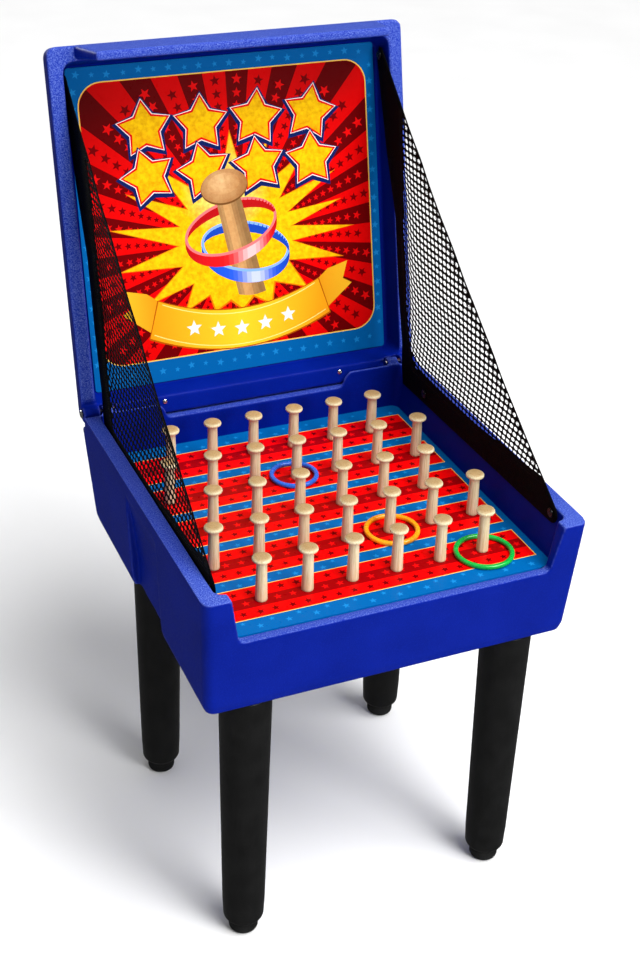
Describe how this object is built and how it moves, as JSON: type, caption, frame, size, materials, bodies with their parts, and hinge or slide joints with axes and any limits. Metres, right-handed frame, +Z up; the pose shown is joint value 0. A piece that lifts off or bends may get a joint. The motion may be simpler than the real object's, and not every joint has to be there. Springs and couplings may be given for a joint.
{
  "type": "ring toss set",
  "caption": "Tabletop-height ring toss game in a folding case: wooden pegs in a tray on pull-out legs, a hinged backboard lid, side nets and tossing rings.",
  "frame": {"origin": "on the ground under the middle of the standing set, with the lid open and the rings on the board", "axes": "+Z up; +X to the player's right; +Y away from the player, towards the hinged lid"},
  "size_m": [0.643, 0.7852, 1.324],
  "materials": {
    "case_plastic": "pebbled satin",
    "playfield_print": "printed, semi-gloss",
    "header_print": "printed, semi-gloss",
    "peg_wood": "smooth sanded",
    "ring_blue": "gloss",
    "ring_yellow": "gloss",
    "ring_green": "gloss",
    "leg_plastic": "satin",
    "foot_rubber": "matte",
    "net_fabric": "woven",
    "snap_metal": "black enamel",
    "bright_metal": "satin"
  },
  "bodies": {
    "case_base": {"base_tub": "case_plastic", "playfield_board": "playfield_print", "peg_01": "peg_wood", "peg_02": "peg_wood", "peg_03": "peg_wood", "peg_04": "peg_wood", "peg_05": "peg_wood", "peg_06": "peg_wood", "peg_07": "peg_wood", "peg_08": "peg_wood", "peg_09": "peg_wood", "peg_10": "peg_wood", "peg_11": "peg_wood", "peg_12": "peg_wood", "peg_13": "peg_wood", "peg_14": "peg_wood", "peg_15": "peg_wood", "peg_16": "peg_wood", "peg_17": "peg_wood", "peg_18": "peg_wood", "peg_19": "peg_wood", "peg_20": "peg_wood", "peg_21": "peg_wood", "peg_22": "peg_wood", "peg_23": "peg_wood", "peg_24": "peg_wood", "peg_25": "peg_wood", "peg_26": "peg_wood", "peg_27": "peg_wood", "peg_28": "peg_wood", "peg_29": "peg_wood", "peg_30": "peg_wood", "peg_31": "peg_wood", "peg_32": "peg_wood", "hinge_pin_left": "bright_metal", "hinge_pin_right": "bright_metal", "net_left": "net_fabric", "net_right": "net_fabric", "snap_front_left": "snap_metal", "snap_front_right": "snap_metal", "snap_rear_left": "snap_metal", "snap_rear_right": "snap_metal"},
    "lid": {"lid_shell": "case_plastic", "header_panel": "header_print", "lid_screw_left": "bright_metal", "lid_screw_right": "bright_metal", "snap_top_left": "snap_metal", "snap_top_right": "snap_metal"},
    "ring_blue": {"ring_blue": "ring_blue"},
    "ring_yellow": {"ring_yellow": "ring_yellow"},
    "ring_green": {"ring_green": "ring_green"},
    "leg_front_left": {"leg_front_left": "leg_plastic", "foot_front_left": "foot_rubber"},
    "leg_front_right": {"leg_front_right": "leg_plastic", "foot_front_right": "foot_rubber"},
    "leg_rear_left": {"leg_rear_left": "leg_plastic", "foot_rear_left": "foot_rubber"},
    "leg_rear_right": {"leg_rear_right": "leg_plastic", "foot_rear_right": "foot_rubber"}
  },
  "joints": [
    {"name": "lid_hinge", "type": "hinge", "parent": "case_base", "child": "lid", "pos_m": [0, 0.22205, 0.7106], "axis": [-1, 0, 0], "range_deg": [-101.5, 0], "deforming": ["net_left", "net_right"]},
    {"name": "ring_blue_lift", "type": "slide", "parent": "case_base", "child": "ring_blue", "axis": [0, 0, 1], "range_m": [0, 0.088]},
    {"name": "ring_yellow_lift", "type": "slide", "parent": "case_base", "child": "ring_yellow", "axis": [0, 0, 1], "range_m": [0, 0.088]},
    {"name": "ring_green_lift", "type": "slide", "parent": "case_base", "child": "ring_green", "axis": [0, 0, 1], "range_m": [0, 0.088]},
    {"name": "leg_front_left_pull", "type": "slide", "parent": "case_base", "child": "leg_front_left", "axis": [0, 0, 1], "range_m": [-0.115, 0]},
    {"name": "leg_front_right_pull", "type": "slide", "parent": "case_base", "child": "leg_front_right", "axis": [0, 0, 1], "range_m": [-0.115, 0]},
    {"name": "leg_rear_left_pull", "type": "slide", "parent": "case_base", "child": "leg_rear_left", "axis": [0, 0, 1], "range_m": [-0.115, 0]},
    {"name": "leg_rear_right_pull", "type": "slide", "parent": "case_base", "child": "leg_rear_right", "axis": [0, 0, 1], "range_m": [-0.115, 0]}
  ]
}
